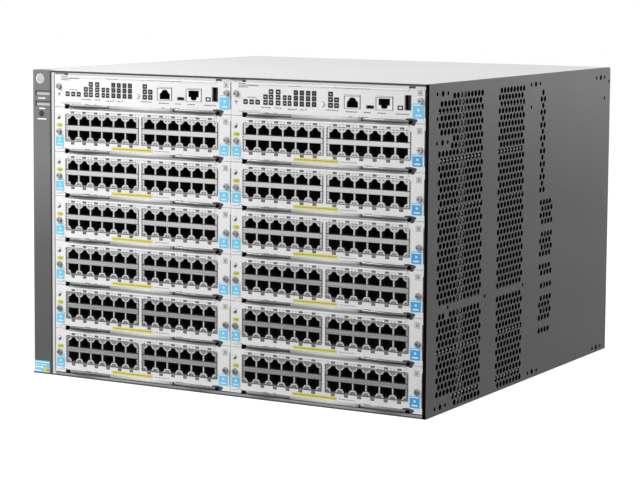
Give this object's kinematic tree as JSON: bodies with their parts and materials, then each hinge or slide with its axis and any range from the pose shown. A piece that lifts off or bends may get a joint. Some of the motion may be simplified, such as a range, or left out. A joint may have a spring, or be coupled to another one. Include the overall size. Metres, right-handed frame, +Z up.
{
  "type": "modular chassis switch",
  "caption": "Rack chassis for a network switch, with plug-in port modules, management modules, power supplies and a fan tray that slide out of it.",
  "frame": {"origin": "centre of the underside of the chassis, handles and levers included in the outline", "axes": "+X to the right seen from the front, +Y towards the rear, +Z up"},
  "size_m": [0.445, 0.4524, 0.307],
  "materials": {
    "side_paint": "satin",
    "cover_paint": "satin",
    "bezel_plastic": "satin",
    "plated_sheet": "satin",
    "board_laminate": "satin",
    "fan_plastic": "matte",
    "supply_case": "satin",
    "lever_chrome": "polished",
    "button_plastic": "matte",
    "module_sheet": "satin"
  },
  "bodies": {
    "root": {"base_pan": "plated_sheet", "left_side_panel": "side_paint", "right_side_panel": "side_paint", "top_cover": "cover_paint", "front_bezel": "bezel_plastic", "fan_partition": "plated_sheet", "centre_divider": "plated_sheet", "backplane": "board_laminate"},
    "port_module_a": {"port_module_a": "module_sheet"},
    "port_module_a_left_lever": {"port_module_a_left_lever": "lever_chrome"},
    "port_module_a_right_lever": {"port_module_a_right_lever": "lever_chrome"},
    "port_module_b": {"port_module_b": "module_sheet"},
    "port_module_b_left_lever": {"port_module_b_left_lever": "lever_chrome"},
    "port_module_b_right_lever": {"port_module_b_right_lever": "lever_chrome"},
    "port_module_c": {"port_module_c": "module_sheet"},
    "port_module_c_left_lever": {"port_module_c_left_lever": "lever_chrome"},
    "port_module_c_right_lever": {"port_module_c_right_lever": "lever_chrome"},
    "port_module_d": {"port_module_d": "module_sheet"},
    "port_module_d_left_lever": {"port_module_d_left_lever": "lever_chrome"},
    "port_module_d_right_lever": {"port_module_d_right_lever": "lever_chrome"},
    "port_module_e": {"port_module_e": "module_sheet"},
    "port_module_e_left_lever": {"port_module_e_left_lever": "lever_chrome"},
    "port_module_e_right_lever": {"port_module_e_right_lever": "lever_chrome"},
    "port_module_f": {"port_module_f": "module_sheet"},
    "port_module_f_left_lever": {"port_module_f_left_lever": "lever_chrome"},
    "port_module_f_right_lever": {"port_module_f_right_lever": "lever_chrome"},
    "port_module_g": {"port_module_g": "module_sheet"},
    "port_module_g_left_lever": {"port_module_g_left_lever": "lever_chrome"},
    "port_module_g_right_lever": {"port_module_g_right_lever": "lever_chrome"},
    "port_module_h": {"port_module_h": "module_sheet"},
    "port_module_h_left_lever": {"port_module_h_left_lever": "lever_chrome"},
    "port_module_h_right_lever": {"port_module_h_right_lever": "lever_chrome"},
    "port_module_i": {"port_module_i": "module_sheet"},
    "port_module_i_left_lever": {"port_module_i_left_lever": "lever_chrome"},
    "port_module_i_right_lever": {"port_module_i_right_lever": "lever_chrome"},
    "port_module_j": {"port_module_j": "module_sheet"},
    "port_module_j_left_lever": {"port_module_j_left_lever": "lever_chrome"},
    "port_module_j_right_lever": {"port_module_j_right_lever": "lever_chrome"},
    "port_module_k": {"port_module_k": "module_sheet"},
    "port_module_k_left_lever": {"port_module_k_left_lever": "lever_chrome"},
    "port_module_k_right_lever": {"port_module_k_right_lever": "lever_chrome"},
    "port_module_l": {"port_module_l": "module_sheet"},
    "port_module_l_left_lever": {"port_module_l_left_lever": "lever_chrome"},
    "port_module_l_right_lever": {"port_module_l_right_lever": "lever_chrome"},
    "management_module_1": {"management_module_1": "module_sheet"},
    "management_module_1_left_lever": {"management_module_1_left_lever": "lever_chrome"},
    "management_module_1_right_lever": {"management_module_1_right_lever": "lever_chrome"},
    "management_module_1_mode_button": {"management_module_1_mode_button": "button_plastic"},
    "management_module_2": {"management_module_2": "module_sheet"},
    "management_module_2_left_lever": {"management_module_2_left_lever": "lever_chrome"},
    "management_module_2_right_lever": {"management_module_2_right_lever": "lever_chrome"},
    "management_module_2_mode_button": {"management_module_2_mode_button": "button_plastic"},
    "fan_tray": {"fan_tray": "fan_plastic"},
    "fan_rotor_1": {"fan_rotor_1": "fan_plastic"},
    "fan_rotor_2": {"fan_rotor_2": "fan_plastic"},
    "fan_rotor_3": {"fan_rotor_3": "fan_plastic"},
    "power_supply_1": {"power_supply_1": "supply_case"},
    "power_supply_2": {"power_supply_2": "supply_case"},
    "power_supply_3": {"power_supply_3": "supply_case"},
    "power_supply_4": {"power_supply_4": "supply_case"}
  },
  "joints": [
    {"name": "port_module_a_slide", "type": "slide", "parent": "root", "child": "port_module_a", "axis": [0, -1, 0], "range_m": [0, 0.27]},
    {"name": "port_module_a_left_lever_hinge", "type": "hinge", "parent": "port_module_a", "child": "port_module_a_left_lever", "pos_m": [-0.1741, -0.22125, 0.22785], "axis": [0, 0, -1], "range_deg": [0, 80]},
    {"name": "port_module_a_right_lever_hinge", "type": "hinge", "parent": "port_module_a", "child": "port_module_a_right_lever", "pos_m": [-0.0079, -0.22125, 0.22785], "axis": [0, 0, 1], "range_deg": [0, 80]},
    {"name": "port_module_b_slide", "type": "slide", "parent": "root", "child": "port_module_b", "axis": [0, -1, 0], "range_m": [0, 0.27]},
    {"name": "port_module_b_left_lever_hinge", "type": "hinge", "parent": "port_module_b", "child": "port_module_b_left_lever", "pos_m": [0.0325, -0.22125, 0.22785], "axis": [0, 0, -1], "range_deg": [0, 80]},
    {"name": "port_module_b_right_lever_hinge", "type": "hinge", "parent": "port_module_b", "child": "port_module_b_right_lever", "pos_m": [0.1987, -0.22125, 0.22785], "axis": [0, 0, 1], "range_deg": [0, 80]},
    {"name": "port_module_c_slide", "type": "slide", "parent": "root", "child": "port_module_c", "axis": [0, -1, 0], "range_m": [0, 0.27]},
    {"name": "port_module_c_left_lever_hinge", "type": "hinge", "parent": "port_module_c", "child": "port_module_c_left_lever", "pos_m": [-0.1741, -0.22125, 0.1834], "axis": [0, 0, -1], "range_deg": [0, 80]},
    {"name": "port_module_c_right_lever_hinge", "type": "hinge", "parent": "port_module_c", "child": "port_module_c_right_lever", "pos_m": [-0.0079, -0.22125, 0.1834], "axis": [0, 0, 1], "range_deg": [0, 80]},
    {"name": "port_module_d_slide", "type": "slide", "parent": "root", "child": "port_module_d", "axis": [0, -1, 0], "range_m": [0, 0.27]},
    {"name": "port_module_d_left_lever_hinge", "type": "hinge", "parent": "port_module_d", "child": "port_module_d_left_lever", "pos_m": [0.0325, -0.22125, 0.1834], "axis": [0, 0, -1], "range_deg": [0, 80]},
    {"name": "port_module_d_right_lever_hinge", "type": "hinge", "parent": "port_module_d", "child": "port_module_d_right_lever", "pos_m": [0.1987, -0.22125, 0.1834], "axis": [0, 0, 1], "range_deg": [0, 80]},
    {"name": "port_module_e_slide", "type": "slide", "parent": "root", "child": "port_module_e", "axis": [0, -1, 0], "range_m": [0, 0.27]},
    {"name": "port_module_e_left_lever_hinge", "type": "hinge", "parent": "port_module_e", "child": "port_module_e_left_lever", "pos_m": [-0.1741, -0.22125, 0.13895], "axis": [0, 0, -1], "range_deg": [0, 80]},
    {"name": "port_module_e_right_lever_hinge", "type": "hinge", "parent": "port_module_e", "child": "port_module_e_right_lever", "pos_m": [-0.0079, -0.22125, 0.13895], "axis": [0, 0, 1], "range_deg": [0, 80]},
    {"name": "port_module_f_slide", "type": "slide", "parent": "root", "child": "port_module_f", "axis": [0, -1, 0], "range_m": [0, 0.27]},
    {"name": "port_module_f_left_lever_hinge", "type": "hinge", "parent": "port_module_f", "child": "port_module_f_left_lever", "pos_m": [0.0325, -0.22125, 0.13895], "axis": [0, 0, -1], "range_deg": [0, 80]},
    {"name": "port_module_f_right_lever_hinge", "type": "hinge", "parent": "port_module_f", "child": "port_module_f_right_lever", "pos_m": [0.1987, -0.22125, 0.13895], "axis": [0, 0, 1], "range_deg": [0, 80]},
    {"name": "port_module_g_slide", "type": "slide", "parent": "root", "child": "port_module_g", "axis": [0, -1, 0], "range_m": [0, 0.27]},
    {"name": "port_module_g_left_lever_hinge", "type": "hinge", "parent": "port_module_g", "child": "port_module_g_left_lever", "pos_m": [-0.1741, -0.22125, 0.0945], "axis": [0, 0, -1], "range_deg": [0, 80]},
    {"name": "port_module_g_right_lever_hinge", "type": "hinge", "parent": "port_module_g", "child": "port_module_g_right_lever", "pos_m": [-0.0079, -0.22125, 0.0945], "axis": [0, 0, 1], "range_deg": [0, 80]},
    {"name": "port_module_h_slide", "type": "slide", "parent": "root", "child": "port_module_h", "axis": [0, -1, 0], "range_m": [0, 0.27]},
    {"name": "port_module_h_left_lever_hinge", "type": "hinge", "parent": "port_module_h", "child": "port_module_h_left_lever", "pos_m": [0.0325, -0.22125, 0.0945], "axis": [0, 0, -1], "range_deg": [0, 80]},
    {"name": "port_module_h_right_lever_hinge", "type": "hinge", "parent": "port_module_h", "child": "port_module_h_right_lever", "pos_m": [0.1987, -0.22125, 0.0945], "axis": [0, 0, 1], "range_deg": [0, 80]},
    {"name": "port_module_i_slide", "type": "slide", "parent": "root", "child": "port_module_i", "axis": [0, -1, 0], "range_m": [0, 0.27]},
    {"name": "port_module_i_left_lever_hinge", "type": "hinge", "parent": "port_module_i", "child": "port_module_i_left_lever", "pos_m": [-0.1741, -0.22125, 0.05005], "axis": [0, 0, -1], "range_deg": [0, 80]},
    {"name": "port_module_i_right_lever_hinge", "type": "hinge", "parent": "port_module_i", "child": "port_module_i_right_lever", "pos_m": [-0.0079, -0.22125, 0.05005], "axis": [0, 0, 1], "range_deg": [0, 80]},
    {"name": "port_module_j_slide", "type": "slide", "parent": "root", "child": "port_module_j", "axis": [0, -1, 0], "range_m": [0, 0.27]},
    {"name": "port_module_j_left_lever_hinge", "type": "hinge", "parent": "port_module_j", "child": "port_module_j_left_lever", "pos_m": [0.0325, -0.22125, 0.05005], "axis": [0, 0, -1], "range_deg": [0, 80]},
    {"name": "port_module_j_right_lever_hinge", "type": "hinge", "parent": "port_module_j", "child": "port_module_j_right_lever", "pos_m": [0.1987, -0.22125, 0.05005], "axis": [0, 0, 1], "range_deg": [0, 80]},
    {"name": "port_module_k_slide", "type": "slide", "parent": "root", "child": "port_module_k", "axis": [0, -1, 0], "range_m": [0, 0.27]},
    {"name": "port_module_k_left_lever_hinge", "type": "hinge", "parent": "port_module_k", "child": "port_module_k_left_lever", "pos_m": [-0.1741, -0.22125, 0.0056], "axis": [0, 0, -1], "range_deg": [0, 80]},
    {"name": "port_module_k_right_lever_hinge", "type": "hinge", "parent": "port_module_k", "child": "port_module_k_right_lever", "pos_m": [-0.0079, -0.22125, 0.0056], "axis": [0, 0, 1], "range_deg": [0, 80]},
    {"name": "port_module_l_slide", "type": "slide", "parent": "root", "child": "port_module_l", "axis": [0, -1, 0], "range_m": [0, 0.27]},
    {"name": "port_module_l_left_lever_hinge", "type": "hinge", "parent": "port_module_l", "child": "port_module_l_left_lever", "pos_m": [0.0325, -0.22125, 0.0056], "axis": [0, 0, -1], "range_deg": [0, 80]},
    {"name": "port_module_l_right_lever_hinge", "type": "hinge", "parent": "port_module_l", "child": "port_module_l_right_lever", "pos_m": [0.1987, -0.22125, 0.0056], "axis": [0, 0, 1], "range_deg": [0, 80]},
    {"name": "management_module_1_slide", "type": "slide", "parent": "root", "child": "management_module_1", "axis": [0, -1, 0], "range_m": [0, 0.27]},
    {"name": "management_module_1_left_lever_hinge", "type": "hinge", "parent": "management_module_1", "child": "management_module_1_left_lever", "pos_m": [-0.1741, -0.22125, 0.2723], "axis": [0, 0, -1], "range_deg": [0, 80]},
    {"name": "management_module_1_right_lever_hinge", "type": "hinge", "parent": "management_module_1", "child": "management_module_1_right_lever", "pos_m": [-0.0079, -0.22125, 0.2723], "axis": [0, 0, 1], "range_deg": [0, 80]},
    {"name": "management_module_1_mode_button_press", "type": "slide", "parent": "management_module_1", "child": "management_module_1_mode_button", "axis": [0, 1, 0], "range_m": [0, 0.0005], "stiffness_N_per_m": 400, "springref_m": -0.0005},
    {"name": "management_module_2_slide", "type": "slide", "parent": "root", "child": "management_module_2", "axis": [0, -1, 0], "range_m": [0, 0.27]},
    {"name": "management_module_2_left_lever_hinge", "type": "hinge", "parent": "management_module_2", "child": "management_module_2_left_lever", "pos_m": [0.0325, -0.22125, 0.2723], "axis": [0, 0, -1], "range_deg": [0, 80]},
    {"name": "management_module_2_right_lever_hinge", "type": "hinge", "parent": "management_module_2", "child": "management_module_2_right_lever", "pos_m": [0.1987, -0.22125, 0.2723], "axis": [0, 0, 1], "range_deg": [0, 80]},
    {"name": "management_module_2_mode_button_press", "type": "slide", "parent": "management_module_2", "child": "management_module_2_mode_button", "axis": [0, 1, 0], "range_m": [0, 0.0005], "stiffness_N_per_m": 400, "springref_m": -0.0005},
    {"name": "fan_tray_slide", "type": "slide", "parent": "root", "child": "fan_tray", "axis": [0, 1, 0], "range_m": [0, 0.415]},
    {"name": "fan_rotor_1_spin", "type": "hinge", "parent": "fan_tray", "child": "fan_rotor_1", "pos_m": [-0.2104, -0.15665, 0.05225], "axis": [1, 0, 0], "continuous": true},
    {"name": "fan_rotor_2_spin", "type": "hinge", "parent": "fan_tray", "child": "fan_rotor_2", "pos_m": [-0.2104, -0.15665, 0.14825], "axis": [1, 0, 0], "continuous": true},
    {"name": "fan_rotor_3_spin", "type": "hinge", "parent": "fan_tray", "child": "fan_rotor_3", "pos_m": [-0.2104, -0.15665, 0.24425], "axis": [1, 0, 0], "continuous": true},
    {"name": "power_supply_1_slide", "type": "slide", "parent": "root", "child": "power_supply_1", "axis": [0, 1, 0], "range_m": [0, 0.165]},
    {"name": "power_supply_2_slide", "type": "slide", "parent": "root", "child": "power_supply_2", "axis": [0, 1, 0], "range_m": [0, 0.165]},
    {"name": "power_supply_3_slide", "type": "slide", "parent": "root", "child": "power_supply_3", "axis": [0, 1, 0], "range_m": [0, 0.165]},
    {"name": "power_supply_4_slide", "type": "slide", "parent": "root", "child": "power_supply_4", "axis": [0, 1, 0], "range_m": [0, 0.165]}
  ]
}
